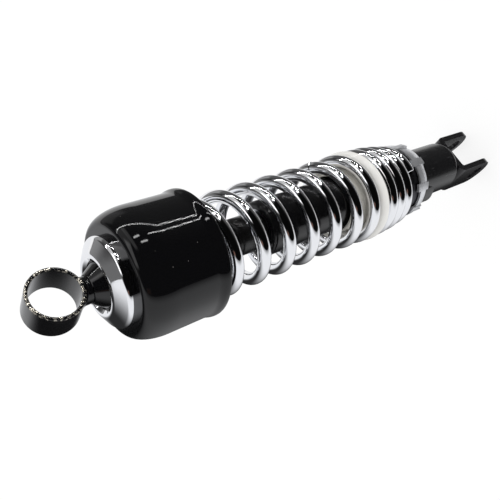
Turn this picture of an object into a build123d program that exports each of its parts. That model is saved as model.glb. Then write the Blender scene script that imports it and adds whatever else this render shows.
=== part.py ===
"""Rear shock absorber for a motorcycle: twin-tube damper, coil spring, shroud, eye and clevis.

Frame: millimetres, +Z along the damper axis from the lower clevis pin to the upper eye.
The origin is the centre of the clevis pin hole. The pin lies along Y, the eye's bore along X.
"""
import math
import os

from build123d import *

# ---------------------------------------------------------------- driving dimensions
EYE_TO_PIN = 320.0          # eye centre to pin centre, fully extended
RUN = 0.08                  # radial running clearance between parts that slide or turn
GAP = 0.10                  # face clearance between parts of different bodies

# upper eye and its stem
EYE_R = 12.75
EYE_BORE_R = 11.0
EYE_WIDTH = 16.0
NECK_R = 6.6
CONE_TOP_Z = 304.5
CONE_LOW_Z = 298.0
HUB_R = 11.2
HUB_LOW_Z = 287.0
HUB_FLANGE_R = 14.0
HUB_FLANGE_THICKNESS = 1.5
CENTRE_HOLE_R = 11.6        # hole in the shroud and the upper seat, around the hub

# shroud and dished cap
SHROUD_R = 32.4
SHROUD_WALL = 1.4
SHROUD_FACE_Z = 291.8
SHROUD_REAR_Z = 247.8
SHOULDER_R = 26.0           # where the flat face turns into the shoulder
SHOULDER_LENGTH = 16.0
BAND_R = 33.5
BAND_LENGTH = 5.4
BAND_FLARE = 3.2            # length over which the band widens
BAND_ROUND = 1.4
CAP_RIM_R = 22.3
CAP_CROWN_R = 14.2
CAP_HOLE_R = 11.9
CAP_SHEET = 1.0
CAP_RIM_Z = 295.2
CAP_CROWN_Z = 301.2
CAP_ROLL = 2.2

# coil spring: close coils at the lower end, open coils above, and one closed coil on top
WIRE_R = 3.5
COIL_R = 23.8               # mean radius of the open coils
CLOSE_COIL_R = 24.7         # mean radius of the close coils
END_COIL_R = 21.8           # mean radius at the lower cut end
TAPER_TURNS = 3.0
NARROW_TURNS = 2.0          # turns over which the close coils narrow to the open ones
CLOSE_PITCH = 8.4
OPEN_PITCH = 17.75
OPEN_FROM = 4.9             # turns from the lower end
CLOSED_FROM = 12.5
PITCH_BLEND = 0.6
SPRING_TURNS = 14.0
SPRING_LOW_Z = 92.5         # wire centre at the lower cut end
SPRING_START_DEG = -17.0
POINTS_PER_TURN = 12

# damper
TUBE_R = 15.5
TUBE_BORE_R = 14.0
TUBE_TOP_Z = 204.0
TUBE_LOW_Z = 90.0
SOCKET_R = 16.6
SOCKET_TOP_Z = 104.0
SOCKET_LOW_Z = 30.0
SOCKET_FLOOR_Z = 36.0
SOCKET_ROUND = 4.5
CYLINDER_R = 11.2
CYLINDER_BORE_R = 10.0
CYLINDER_LOW_Z = 41.0
CYLINDER_TOP_Z = 189.5
ROD_R = 5.0
ROD_TOP_Z = 300.0
GUIDE_LOW_Z = 184.0
GUIDE_TOP_Z = 196.0
BUSH_WALL = 0.6
SEAL_TOP_Z = 200.8
SEAL_LIP_WALL = 1.1
SEAL_WEB = 1.5
SEAL_CAVITY_R = 8.2
SEAL_WASHER_BORE_R = 6.0
GARTER_R = 0.5
O_RING_DEPTH = 1.7
O_RING_LOW_Z = 191.5
O_RING_HIGH_Z = 193.7
LIP_R = 11.6                # bore of the tube's rolled-in top lip
LIP_THICKNESS = 1.5
LIP_ROUND = 2.6
BUMP_R = 10.45
BUMP_TOP_Z = 223.5
BUMP_ROUND = 4.0
BUMP_GROOVE_Z = 207.0
BUMP_GROOVE = 1.0
BUMP_WASHER_R = 12.0
BUMP_WASHER_THICKNESS = 1.6
LOCK_NUT_FLATS = 17.0
LOCK_NUT_HEIGHT = 8.0

# preload cam, spring seat and spring guide
CAM_TURN_DEG = 100.0        # collar travel over its three positions
CAM_LIFT = 7.0              # seat travel over the same turn
CAM_STEPS = 72
CAM_LOWEST_Z = 71.5
CAM_LOW_Z = 80.5            # cam edge above the stop lugs in the softest position
CAM_RECESS = 1.2            # depth of each detent
DETENT_HALF_DEG = 14.0
STOP_WALL_DEG = 8.0
LUG_DEG = -70.0
LUG_HALF_DEG = 15.0
LUG_PLAY_DEG = 2.0
LUG_EASE = 0.5              # the rounded lug sits this far below the cam's ramp
LUG_R = 21.7
LUG_HEIGHT = 12.5
LUG_ROUND = 2.8
LUG_SINK = 0.6              # depth the lugs run into the socket wall
COLLAR_LOW_R = 20.8         # the body widens in a cone from here up to the rim
COLLAR_RIM_R = 23.9
COLLAR_SHOULDER_Z = 84.5
COLLAR_RIM_Z = 86.2
COLLAR_GROOVE_R = 22.6      # bore of the rim, around the spring seat
COLLAR_CONE_TOP_Z = 82.0
COLLAR_TOOTH_Z = 88.8
TOOTH_COUNT = 9
TOOTH_DEG = -46.0
TOOTH_WIDTH = 4.8
TOOTH_R = 24.3
TOOTH_LOW_Z = 77.5
SEAT_R = 22.0
SEAT_DISC_Z = 88.8
SEAT_STEP_DEG = 10.0        # the step behind the spring's cut end
SEAT_PILOT = 8.0
SEAT_SHEET = 2.0
SEAT_FIT = 0.5              # slack around the upper seat and around its pilot
PILOT_WALL = 2.0
GUIDE_SLEEVE_R = 18.0
GUIDE_SLEEVE_TOP_Z = 146.0
GUIDE_SLEEVE_BORE_R = 16.9
GUIDE_SLEEVE_ROUND = 0.6

# lower clevis
PIN_HOLE_R = 6.1
EAR_GAP = 22.0
EAR_THICKNESS = 4.0
EAR_HALF_WIDTH = 12.0
CROTCH_Z = 24.5
CROTCH_R = 1.5
EAR_BEND_R = 5.5
HOLE_CHAMFER = 0.4

# piston group, hanging from the rod
ROD_STEP_Z = 170.0          # shoulder that the piston stack is clamped against
ROD_STEP_R = 3.5
ROD_END_Z = 145.0
CLIP_LOW_Z = 172.6
CLIP_THICKNESS = 1.4
CLIP_GROOVE_R = 4.2
REBOUND_R = 8.5
BACKING_THICKNESS = 1.6
CHECK_THICKNESS = 0.6
PISTON_R = 9.7
PISTON_HEIGHT = 11.0
PISTON_RING_R = 9.96
PISTON_RING_DEPTH = 1.2
PISTON_RING_HEIGHT = 3.0
PORT_COUNT = 6
PORT_R = 1.1
PORT_PITCH_R = 6.6
SHIM_THICKNESS = 0.3
SHIM_RADII = (8.4, 7.4, 6.4)
SHIM_FILM = 0.02            # oil film between shims
PISTON_NUT_FLATS = 11.0
PISTON_NUT_HEIGHT = 6.5

# foot valve
FOOT_R = 12.6
FOOT_SPIGOT_HEIGHT = 6.0
FOOT_RELIEF = 2.0
FOOT_RELIEF_R = 9.6
FOOT_SLOT_WIDTH = 4.0
FOOT_BOLT_R = 2.5
FOOT_BOLT_HEAD_R = 4.4
FOOT_BOLT_HEAD_HEIGHT = 3.0


def lerp(a, b, t):
    """Value a part of the way t from a to b."""
    return a + (b - a) * t


def smooth(t):
    """Ease from 0 to 1 while t goes from 0 to 1."""
    t = min(max(t, 0.0), 1.0)
    return t * t * (3 - 2 * t)


def pitch_at(turn):
    """Rise per turn of the spring, counted in turns from its lower end."""
    opening = smooth((turn - OPEN_FROM) / PITCH_BLEND)
    closing = smooth((turn - CLOSED_FROM) / PITCH_BLEND)
    return lerp(CLOSE_PITCH, OPEN_PITCH, opening - closing)


def coil_radius_at(turn):
    """Mean coil radius, which tapers over the lowest turns and again above the close coils."""
    swell = math.sin(min(turn / TAPER_TURNS, 1.0) * math.pi / 2)
    narrowing = smooth((turn - OPEN_FROM) / NARROW_TURNS)
    return lerp(lerp(END_COIL_R, CLOSE_COIL_R, swell), COIL_R, narrowing)


def spring_centre_line():
    """Points on the wire's centre line from the lower cut end to the top."""
    step = 1.0 / POINTS_PER_TURN
    z = SPRING_LOW_Z
    points = []
    for i in range(round(SPRING_TURNS * POINTS_PER_TURN) + 1):
        turn = i * step
        angle = math.radians(SPRING_START_DEG + 360.0 * turn)
        radius = coil_radius_at(turn)
        points.append(Vector(radius * math.cos(angle), radius * math.sin(angle), z))
        z += pitch_at(turn + step / 2) * step
    return points


def ring(outer, inner, low, high, mode=Mode.ADD):
    """Rectangular half section of a ring, for a sketch that is revolved about Z."""
    with Locations(((outer + inner) / 2, (low + high) / 2)):
        Rectangle(outer - inner, high - low, mode=mode)


def polar(radius, degrees, z):
    """Point at a radius, an angle about Z and a height."""
    angle = math.radians(degrees)
    return Vector(radius * math.cos(angle), radius * math.sin(angle), z)


def cam_edge_z(turned):
    """Height of the collar's cam edge, in degrees past the lug of the softest position."""
    slope = CAM_LIFT / CAM_TURN_DEG
    ramp_end = CAM_TURN_DEG + LUG_HALF_DEG + LUG_PLAY_DEG
    wall_start = 180 - LUG_HALF_DEG - LUG_PLAY_DEG - STOP_WALL_DEG
    if turned > wall_start:
        rise = smooth((turned - wall_start) / STOP_WALL_DEG)
        return lerp(CAM_LOW_Z - slope * ramp_end, CAM_LOW_Z - LUG_EASE, rise)
    height = min(CAM_LOW_Z - slope * min(turned, ramp_end), CAM_LOW_Z - LUG_EASE)
    for detent in (0.5 * CAM_TURN_DEG, CAM_TURN_DEG):
        offset = abs(turned - detent) / DETENT_HALF_DEG
        if offset < 1:
            height += CAM_RECESS * math.cos(offset * math.pi / 2) ** 2
    return height


def seat_ramp_z(degrees):
    """Height of the lower seat's ramp at an angle past the spring's cut end."""
    turned = degrees - SPRING_START_DEG
    start = SPRING_LOW_Z - WIRE_R - GAP
    rise = CLOSE_PITCH * turned / 360
    return start + rise * (1 - smooth((turned - 360 + SEAT_STEP_DEG) / SEAT_STEP_DEG))


def edges_of_radius(part, radius):
    """Circular edges of one radius."""
    circles = part.edges().filter_by(GeomType.CIRCLE)
    return circles.filter_by(lambda edge: abs(edge.radius - radius) < 0.01)


def radial_surface(inner, outer, start_deg, end_deg, steps, height_at):
    """Surface of straight radial lines between two radii, whose height depends on the angle."""
    rows = []
    for i in range(steps + 1):
        degrees = lerp(start_deg, end_deg, i / steps)
        height = height_at(degrees)
        rows.append([polar(inner, degrees, height), polar(outer, degrees, height)])
    return Face.make_surface_from_array_of_points(rows, tol=0.01, min_deg=1, max_deg=3)


os.makedirs("parts", exist_ok=True)
spring_points = spring_centre_line()
SPRING_TOP_Z = spring_points[-1].Z + WIRE_R

# ---------------------------------------------------------------- lower clevis and socket
ear_outer = EAR_GAP / 2 + EAR_THICKNESS
with BuildPart() as lower_clevis:
    with BuildSketch(Plane.XZ.offset(-ear_outer)):
        with BuildLine():
            Line((EAR_HALF_WIDTH, 0), (EAR_HALF_WIDTH, SOCKET_LOW_Z))
            Line((EAR_HALF_WIDTH, SOCKET_LOW_Z), (-EAR_HALF_WIDTH, SOCKET_LOW_Z))
            Line((-EAR_HALF_WIDTH, SOCKET_LOW_Z), (-EAR_HALF_WIDTH, 0))
            ThreePointArc((-EAR_HALF_WIDTH, 0), (0, -EAR_HALF_WIDTH), (EAR_HALF_WIDTH, 0))
        make_face()
    extrude(amount=2 * ear_outer)
    fillet(lower_clevis.edges().filter_by(Axis.X).group_by(Axis.Z)[-1], radius=EAR_BEND_R)
    with BuildSketch(Plane.YZ.offset(-EAR_HALF_WIDTH)):
        with Locations((0, (CROTCH_Z - EAR_HALF_WIDTH) / 2)):
            Rectangle(EAR_GAP, CROTCH_Z + EAR_HALF_WIDTH)
        fillet(vertices().group_by(Axis.Y)[-1], radius=CROTCH_R)
    extrude(amount=2 * EAR_HALF_WIDTH, mode=Mode.SUBTRACT)
    with Locations(Plane.XZ):
        Hole(radius=PIN_HOLE_R)
    chamfer(edges_of_radius(lower_clevis, PIN_HOLE_R), length=HOLE_CHAMFER)

with BuildPart() as lower_socket:
    with BuildSketch(Plane.XZ):
        ring(SOCKET_R, 0, SOCKET_LOW_Z, SOCKET_TOP_Z)
        ring(TUBE_BORE_R, 0, SOCKET_FLOOR_Z, SOCKET_TOP_Z, mode=Mode.SUBTRACT)
        ring(TUBE_R, 0, TUBE_LOW_Z, SOCKET_TOP_Z, mode=Mode.SUBTRACT)
    revolve(axis=Axis.Z)
    fillet(edges_of_radius(lower_socket, SOCKET_R).sort_by(Axis.Z)[0], radius=SOCKET_ROUND)
    # two stop lugs carry the cam edge of the preload collar
    lug_low_z = CAM_LOW_Z - LUG_EASE - GAP - LUG_HEIGHT
    for lug_deg in (LUG_DEG, LUG_DEG + 180):
        with BuildSketch(Plane.XY.offset(lug_low_z)):
            with BuildLine():
                start = polar(LUG_R, lug_deg - LUG_HALF_DEG, 0)
                end = polar(LUG_R, lug_deg + LUG_HALF_DEG, 0)
                root = polar(SOCKET_R / 2, lug_deg, 0)
                ThreePointArc(start, polar(LUG_R, lug_deg, 0), end)
                Polyline(end, root, start)
            make_face()
            Circle(SOCKET_R - LUG_SINK, mode=Mode.SUBTRACT)
        extrude(amount=LUG_HEIGHT)
    level_edges = lower_socket.edges().filter_by(GeomType.LINE).filter_by(Axis.Z, reverse=True)
    fillet(level_edges.filter_by_position(Axis.Z, lug_low_z - 1, CAM_LOW_Z), radius=LUG_ROUND)

# ---------------------------------------------------------------- damper, fixed to the socket
with BuildPart() as damper_tube:
    with BuildSketch(Plane.XZ):
        ring(TUBE_R, TUBE_BORE_R, TUBE_LOW_Z, TUBE_TOP_Z)
        ring(TUBE_R, LIP_R, TUBE_TOP_Z - LIP_THICKNESS, TUBE_TOP_Z)
    revolve(axis=Axis.Z)
    fillet(edges_of_radius(damper_tube, TUBE_R).sort_by(Axis.Z)[-1], radius=LIP_ROUND)

with BuildPart() as pressure_cylinder:
    with BuildSketch(Plane.XZ):
        ring(CYLINDER_R, CYLINDER_BORE_R, CYLINDER_LOW_Z, CYLINDER_TOP_Z)
    revolve(axis=Axis.Z)

foot_spigot_z = CYLINDER_LOW_Z + FOOT_SPIGOT_HEIGHT
with BuildPart() as foot_valve_body:
    with BuildSketch(Plane.XZ):
        ring(FOOT_R, FOOT_BOLT_R, SOCKET_FLOOR_Z, CYLINDER_LOW_Z)
        ring(CYLINDER_BORE_R, FOOT_BOLT_R, CYLINDER_LOW_Z, foot_spigot_z)
        ring(FOOT_RELIEF_R, 0, SOCKET_FLOOR_Z, SOCKET_FLOOR_Z + FOOT_RELIEF, mode=Mode.SUBTRACT)
    revolve(axis=Axis.Z)
    with Locations(Plane.XY.offset(SOCKET_FLOOR_Z)):
        with PolarLocations(PORT_PITCH_R, PORT_COUNT):
            Hole(radius=PORT_R)
    # side slots let oil pass between the two tubes
    with BuildSketch(Plane.XY.offset(SOCKET_FLOOR_Z)):
        for slot_deg in (0, 90):
            with Locations(Location((0, 0, 0), (0, 0, slot_deg))):
                Rectangle(2 * FOOT_R + 1, FOOT_SLOT_WIDTH)
    extrude(amount=FOOT_RELIEF, mode=Mode.SUBTRACT)

with BuildPart() as foot_valve_plate:
    with BuildSketch(Plane.XY.offset(foot_spigot_z)):
        Circle(SHIM_RADII[0])
        Circle(FOOT_BOLT_R, mode=Mode.SUBTRACT)
    extrude(amount=CHECK_THICKNESS)

with BuildPart() as foot_valve_bolt:
    plate_top = foot_spigot_z + CHECK_THICKNESS
    with BuildSketch(Plane.XZ):
        ring(FOOT_BOLT_R, 0, SOCKET_FLOOR_Z + 0.5, plate_top)
        ring(FOOT_BOLT_HEAD_R, 0, plate_top, plate_top + FOOT_BOLT_HEAD_HEIGHT)
    revolve(axis=Axis.Z)
    chamfer(edges_of_radius(foot_valve_bolt, FOOT_BOLT_HEAD_R).sort_by(Axis.Z)[-1], length=0.5)

bush_outer = ROD_R + RUN + BUSH_WALL
with BuildPart() as rod_guide:
    with BuildSketch(Plane.XZ):
        ring(CYLINDER_BORE_R, bush_outer, GUIDE_LOW_Z, CYLINDER_TOP_Z)
        ring(TUBE_BORE_R, bush_outer, CYLINDER_TOP_Z, GUIDE_TOP_Z)
        ring(TUBE_BORE_R, TUBE_BORE_R - O_RING_DEPTH, O_RING_LOW_Z, O_RING_HIGH_Z, mode=Mode.SUBTRACT)
    revolve(axis=Axis.Z)

with BuildPart() as rod_guide_bush:
    with BuildSketch(Plane.XZ):
        ring(bush_outer, ROD_R + RUN, GUIDE_LOW_Z + 0.5, GUIDE_TOP_Z - 0.5)
    revolve(axis=Axis.Z)

with BuildPart() as guide_o_ring:
    with BuildSketch(Plane.XZ):
        with Locations((TUBE_BORE_R - O_RING_DEPTH / 2, (O_RING_LOW_Z + O_RING_HIGH_Z) / 2)):
            Circle(O_RING_DEPTH / 2)
    revolve(axis=Axis.Z)

lip_outer = ROD_R + RUN + SEAL_LIP_WALL
with BuildPart() as oil_seal:
    with BuildSketch(Plane.XZ):
        ring(TUBE_BORE_R, SEAL_CAVITY_R, GUIDE_TOP_Z, SEAL_TOP_Z)
        ring(TUBE_BORE_R, ROD_R + RUN, GUIDE_TOP_Z, GUIDE_TOP_Z + SEAL_WEB)
        ring(lip_outer, ROD_R + RUN, GUIDE_TOP_Z, SEAL_TOP_Z - SEAL_LIP_WALL)
    revolve(axis=Axis.Z)

with BuildPart() as seal_garter_spring:
    with BuildSketch(Plane.XZ):
        with Locations((lip_outer + GARTER_R, GUIDE_TOP_Z + SEAL_WEB + 2 * GARTER_R)):
            Circle(GARTER_R)
    revolve(axis=Axis.Z)

with BuildPart() as seal_washer:
    with BuildSketch(Plane.XZ):
        ring(TUBE_BORE_R, SEAL_WASHER_BORE_R, SEAL_TOP_Z, TUBE_TOP_Z - LIP_THICKNESS)
    revolve(axis=Axis.Z)

with BuildPart() as bump_stop:
    with BuildSketch(Plane.XZ):
        ring(BUMP_R, ROD_R + RUN, TUBE_TOP_Z, BUMP_TOP_Z)
        ring(BUMP_R, BUMP_R - BUMP_GROOVE, BUMP_GROOVE_Z, BUMP_GROOVE_Z + BUMP_GROOVE, mode=Mode.SUBTRACT)
    revolve(axis=Axis.Z)
    fillet(edges_of_radius(bump_stop, BUMP_R).sort_by(Axis.Z)[-1], radius=BUMP_ROUND)

# ---------------------------------------------------------------- preload adjuster and spring seat
with BuildPart() as preload_collar:
    with BuildSketch(Plane.XZ):
        with BuildLine():
            Polyline(
                (SOCKET_R + RUN, CAM_LOWEST_Z),
                (COLLAR_LOW_R, CAM_LOWEST_Z),
                (COLLAR_RIM_R, COLLAR_CONE_TOP_Z),
                (COLLAR_RIM_R, COLLAR_RIM_Z),
                (COLLAR_GROOVE_R, COLLAR_RIM_Z),
                (COLLAR_GROOVE_R, COLLAR_SHOULDER_Z),
                (SOCKET_R + RUN, COLLAR_SHOULDER_Z),
                close=True,
            )
        make_face()
    revolve(axis=Axis.Z)
    # castellations for the hook spanner run down the rim as short ribs
    with BuildSketch(Plane.XY.offset(TOOTH_LOW_Z)):
        with PolarLocations(COLLAR_RIM_R, TOOTH_COUNT, start_angle=TOOTH_DEG):
            Rectangle(2 * (COLLAR_RIM_R - COLLAR_LOW_R), TOOTH_WIDTH)
        Circle(TOOTH_R, mode=Mode.INTERSECT)
        Circle(COLLAR_LOW_R, mode=Mode.SUBTRACT)
    extrude(amount=COLLAR_TOOTH_Z - TOOTH_LOW_Z)
    with BuildSketch(Plane.XY.offset(COLLAR_SHOULDER_Z)):
        Circle(COLLAR_GROOVE_R)
        Circle(SOCKET_R, mode=Mode.SUBTRACT)
    extrude(amount=COLLAR_TOOTH_Z, mode=Mode.SUBTRACT)
    for first_deg in (LUG_DEG, LUG_DEG + 180):
        cam_surface = radial_surface(
            SOCKET_R - 2,
            COLLAR_RIM_R + 3,
            first_deg,
            first_deg + 180,
            CAM_STEPS,
            lambda degrees: cam_edge_z(degrees - first_deg),
        )
        extrude(cam_surface, amount=15, dir=(0, 0, -1), mode=Mode.SUBTRACT)

with BuildPart() as lower_spring_seat:
    with BuildSketch(Plane.XZ):
        ring(SEAT_R, SOCKET_R + RUN, COLLAR_SHOULDER_Z, SEAT_DISC_Z)
        ring(SEAT_R, GUIDE_SLEEVE_R + GAP, SEAT_DISC_Z, SPRING_LOW_Z + CLOSE_PITCH)
    revolve(axis=Axis.Z)
    # the top is a ramp under the spring's lowest turn, with a step behind its cut end
    ramp_surface = radial_surface(
        SOCKET_R, SEAT_R + 3, SPRING_START_DEG, SPRING_START_DEG + 360, 2 * CAM_STEPS, seat_ramp_z
    )
    extrude(ramp_surface, amount=15, dir=(0, 0, 1), mode=Mode.SUBTRACT)

with BuildPart() as spring_guide:
    with BuildSketch(Plane.XZ):
        ring(GUIDE_SLEEVE_R, GUIDE_SLEEVE_BORE_R, SEAT_DISC_Z, GUIDE_SLEEVE_TOP_Z)
    revolve(axis=Axis.Z)
    fillet(edges_of_radius(spring_guide, GUIDE_SLEEVE_R).sort_by(Axis.Z)[-1], radius=GUIDE_SLEEVE_ROUND)

with BuildPart() as coil_spring:
    with BuildLine() as wire_path:
        Spline(*spring_points)
    with BuildSketch(Plane(origin=wire_path.line @ 0, z_dir=wire_path.line % 0)):
        Circle(WIRE_R)
    sweep(path=wire_path.line, is_frenet=True)

# ---------------------------------------------------------------- upper cover
with BuildPart() as upper_spring_seat:
    seat_low_z = SPRING_TOP_Z + GAP
    pilot_r = COIL_R - WIRE_R - SEAT_FIT
    with BuildSketch(Plane.XZ):
        ring(SHOULDER_R - SEAT_FIT, CENTRE_HOLE_R, seat_low_z, SHROUD_FACE_Z - SHROUD_WALL)
        ring(COIL_R + WIRE_R + SEAT_FIT, CENTRE_HOLE_R, seat_low_z, seat_low_z + SEAT_SHEET)
        ring(pilot_r, pilot_r - PILOT_WALL, seat_low_z - SEAT_PILOT, seat_low_z)
    revolve(axis=Axis.Z)
    fillet(edges_of_radius(upper_spring_seat, pilot_r).sort_by(Axis.Z)[0], radius=PILOT_WALL / 2)

with BuildPart() as shroud:
    barrel_top = SHROUD_FACE_Z - SHOULDER_LENGTH
    inner_r = SHROUD_R - SHROUD_WALL
    with BuildSketch(Plane.XZ):
        with BuildLine():
            Line((CENTRE_HOLE_R, SHROUD_FACE_Z), (SHOULDER_R, SHROUD_FACE_Z))
            EllipticalCenterArc(
                (SHOULDER_R, barrel_top), SHROUD_R - SHOULDER_R, SHOULDER_LENGTH, arc_size=90
            )
            Polyline(
                (SHROUD_R, barrel_top),
                (SHROUD_R, SHROUD_REAR_Z + BAND_LENGTH),
                (BAND_R, SHROUD_REAR_Z + BAND_LENGTH - BAND_FLARE),
                (BAND_R, SHROUD_REAR_Z + BAND_ROUND),
            )
            RadiusArc(
                (BAND_R, SHROUD_REAR_Z + BAND_ROUND), (BAND_R - BAND_ROUND, SHROUD_REAR_Z), BAND_ROUND
            )
            Polyline(
                (BAND_R - BAND_ROUND, SHROUD_REAR_Z),
                (inner_r, SHROUD_REAR_Z),
                (inner_r, barrel_top),
            )
            EllipticalCenterArc(
                (SHOULDER_R, barrel_top),
                inner_r - SHOULDER_R,
                SHOULDER_LENGTH - SHROUD_WALL,
                arc_size=90,
            )
            Polyline(
                (SHOULDER_R, SHROUD_FACE_Z - SHROUD_WALL),
                (CENTRE_HOLE_R, SHROUD_FACE_Z - SHROUD_WALL),
                (CENTRE_HOLE_R, SHROUD_FACE_Z),
            )
        make_face()
    revolve(axis=Axis.Z)

with BuildPart() as dish_cap:
    with BuildSketch(Plane.XZ):
        with BuildLine():
            Polyline(
                (CAP_RIM_R, SHROUD_FACE_Z),
                (CAP_RIM_R, CAP_RIM_Z),
                (CAP_CROWN_R, CAP_CROWN_Z),
                (CAP_HOLE_R, CAP_CROWN_Z - CAP_ROLL),
                (CAP_HOLE_R + CAP_SHEET, CAP_CROWN_Z - CAP_ROLL - CAP_SHEET / 2),
                (CAP_CROWN_R + CAP_SHEET / 4, CAP_CROWN_Z - 1.3 * CAP_SHEET),
                (CAP_RIM_R - CAP_SHEET, CAP_RIM_Z - CAP_SHEET / 2),
                (CAP_RIM_R - CAP_SHEET, SHROUD_FACE_Z),
                close=True,
            )
        make_face()
    revolve(axis=Axis.Z)
    fillet(edges_of_radius(dish_cap, CAP_RIM_R).sort_by(Axis.Z)[-1], radius=1.2)
    fillet(edges_of_radius(dish_cap, CAP_CROWN_R), radius=2.0)

# ---------------------------------------------------------------- eye, rod and piston
with BuildPart() as upper_eye:
    hub_flange_z = SHROUD_FACE_Z + GAP
    with BuildSketch(Plane.XZ):
        ring(HUB_R, ROD_R, HUB_LOW_Z, CONE_LOW_Z)
        ring(HUB_FLANGE_R, ROD_R, hub_flange_z, hub_flange_z + HUB_FLANGE_THICKNESS)
        with BuildLine():
            Polyline(
                (0, ROD_TOP_Z),
                (ROD_R, ROD_TOP_Z),
                (ROD_R, CONE_LOW_Z),
                (HUB_R, CONE_LOW_Z),
                (NECK_R, CONE_TOP_Z),
                (NECK_R, EYE_TO_PIN - EYE_BORE_R),
                (0, EYE_TO_PIN - EYE_BORE_R),
                close=True,
            )
        make_face()
    revolve(axis=Axis.Z)
    with BuildSketch(Plane.YZ.offset(-EYE_WIDTH / 2)):
        with Locations((0, EYE_TO_PIN)):
            Circle(EYE_R)
    extrude(amount=EYE_WIDTH)
    with Locations(Location((0, 0, EYE_TO_PIN), (0, 90, 0))):
        Hole(radius=EYE_BORE_R)
    chamfer(edges_of_radius(upper_eye, EYE_BORE_R), length=HOLE_CHAMFER)

with BuildPart() as piston_rod:
    with BuildSketch(Plane.XZ):
        ring(ROD_R, 0, ROD_STEP_Z, ROD_TOP_Z)
        ring(ROD_STEP_R, 0, ROD_END_Z, ROD_STEP_Z)
        ring(ROD_R, CLIP_GROOVE_R, CLIP_LOW_Z, CLIP_LOW_Z + CLIP_THICKNESS, mode=Mode.SUBTRACT)
    revolve(axis=Axis.Z)
    chamfer(edges_of_radius(piston_rod, ROD_STEP_R).sort_by(Axis.Z)[0], length=0.6)

with BuildPart() as rod_lock_nut:
    with BuildSketch(Plane.XY.offset(HUB_LOW_Z - LOCK_NUT_HEIGHT)):
        RegularPolygon(radius=LOCK_NUT_FLATS / 2, side_count=6, major_radius=False)
        Circle(ROD_R, mode=Mode.SUBTRACT)
    extrude(amount=LOCK_NUT_HEIGHT)

with BuildPart() as bump_washer:
    washer_top = HUB_LOW_Z - LOCK_NUT_HEIGHT
    with BuildSketch(Plane.XZ):
        ring(BUMP_WASHER_R, ROD_R, washer_top - BUMP_WASHER_THICKNESS, washer_top)
    revolve(axis=Axis.Z)

with BuildPart() as rebound_clip:
    with BuildSketch(Plane.XY.offset(CLIP_LOW_Z)):
        Circle(REBOUND_R - 1)
        Circle(CLIP_GROOVE_R, mode=Mode.SUBTRACT)
        with Locations((REBOUND_R / 2, 0)):
            Rectangle(REBOUND_R + 2, CLIP_GROOVE_R, mode=Mode.SUBTRACT)
    extrude(amount=CLIP_THICKNESS)

with BuildPart() as rebound_stop:
    rebound_low_z = CLIP_LOW_Z + CLIP_THICKNESS
    with BuildSketch(Plane.XZ):
        ring(REBOUND_R, ROD_R, rebound_low_z, GUIDE_LOW_Z - 2 * GAP)
    revolve(axis=Axis.Z)
    fillet(edges_of_radius(rebound_stop, REBOUND_R), radius=1.5)

# the piston stack hangs below the rod's shoulder, each piece against the one above
backing_low_z = ROD_STEP_Z - BACKING_THICKNESS
piston_top_z = backing_low_z - CHECK_THICKNESS
piston_low_z = piston_top_z - PISTON_HEIGHT
shim_low_z = piston_low_z - SHIM_THICKNESS * len(SHIM_RADII)
support_low_z = shim_low_z - BACKING_THICKNESS

with BuildPart() as piston_backing_washer:
    with BuildSketch(Plane.XZ):
        ring(SHIM_RADII[0], ROD_STEP_R, backing_low_z, ROD_STEP_Z)
    revolve(axis=Axis.Z)
    chamfer(edges_of_radius(piston_backing_washer, SHIM_RADII[0]).sort_by(Axis.Z)[-1], length=0.8)

with BuildPart() as piston_check_plate:
    with BuildSketch(Plane.XZ):
        ring(SHIM_RADII[0], ROD_STEP_R, piston_top_z, backing_low_z)
    revolve(axis=Axis.Z)

with BuildPart() as piston:
    ring_groove_z = piston_low_z + (PISTON_HEIGHT - PISTON_RING_HEIGHT) / 2
    groove_r = PISTON_R - PISTON_RING_DEPTH
    with BuildSketch(Plane.XZ):
        ring(PISTON_R, ROD_STEP_R, piston_low_z, piston_top_z)
        ring(PISTON_R, groove_r, ring_groove_z, ring_groove_z + PISTON_RING_HEIGHT, mode=Mode.SUBTRACT)
    revolve(axis=Axis.Z)
    with Locations(Plane.XY.offset(piston_low_z)):
        with PolarLocations(PORT_PITCH_R, PORT_COUNT):
            Hole(radius=PORT_R)

with BuildPart() as piston_ring:
    with BuildSketch(Plane.XZ):
        ring(PISTON_RING_R, groove_r, ring_groove_z, ring_groove_z + PISTON_RING_HEIGHT)
    revolve(axis=Axis.Z)

with BuildPart() as rebound_shims:
    with BuildSketch(Plane.XZ):
        for index, shim_radius in enumerate(SHIM_RADII):
            shim_top = piston_low_z - index * SHIM_THICKNESS
            ring(shim_radius, ROD_STEP_R, shim_top - SHIM_THICKNESS + SHIM_FILM, shim_top)
    revolve(axis=Axis.Z)

with BuildPart() as shim_support_washer:
    with BuildSketch(Plane.XZ):
        ring(SHIM_RADII[-1] - 1, ROD_STEP_R, support_low_z, shim_low_z)
    revolve(axis=Axis.Z)

with BuildPart() as piston_nut:
    with BuildSketch(Plane.XY.offset(support_low_z - PISTON_NUT_HEIGHT)):
        RegularPolygon(radius=PISTON_NUT_FLATS / 2, side_count=6, major_radius=False)
        Circle(ROD_STEP_R, mode=Mode.SUBTRACT)
    extrude(amount=PISTON_NUT_HEIGHT)

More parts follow.
